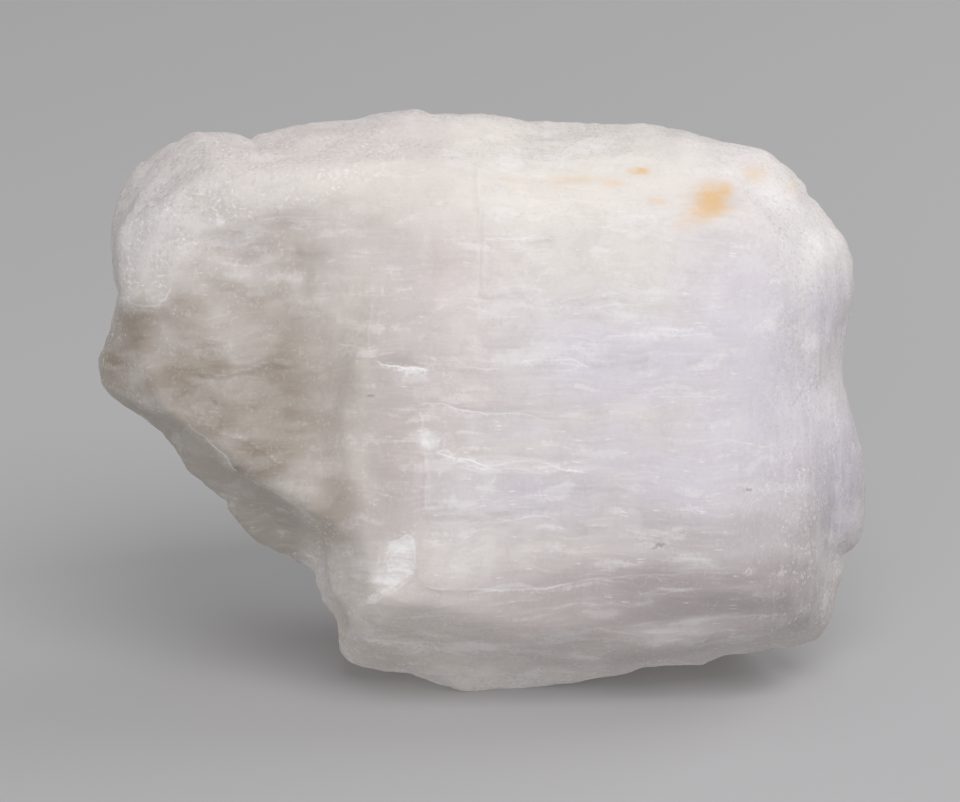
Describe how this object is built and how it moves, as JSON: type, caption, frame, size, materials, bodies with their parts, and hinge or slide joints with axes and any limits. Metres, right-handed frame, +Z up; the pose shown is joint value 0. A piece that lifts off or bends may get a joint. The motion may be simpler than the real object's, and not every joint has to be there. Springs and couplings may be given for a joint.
{
  "type": "cryolite specimen",
  "caption": "Massive milky-white cryolite hand specimen: a blocky stone with stepped cleavage faces, a thinner wing at one side and a flat face it stands on.",
  "frame": {"origin": "on the flat resting face, below the stone's middle", "axes": "+X along the stone's longest side, to the right as the show face is seen; +Z up; the show face looks towards -Y and leans back 16 degrees"},
  "size_m": [0.0998, 0.0629, 0.0724],
  "materials": {
    "cryolite": "satin"
  },
  "bodies": {
    "root": {"cryolite": "cryolite"}
  },
  "joints": []
}
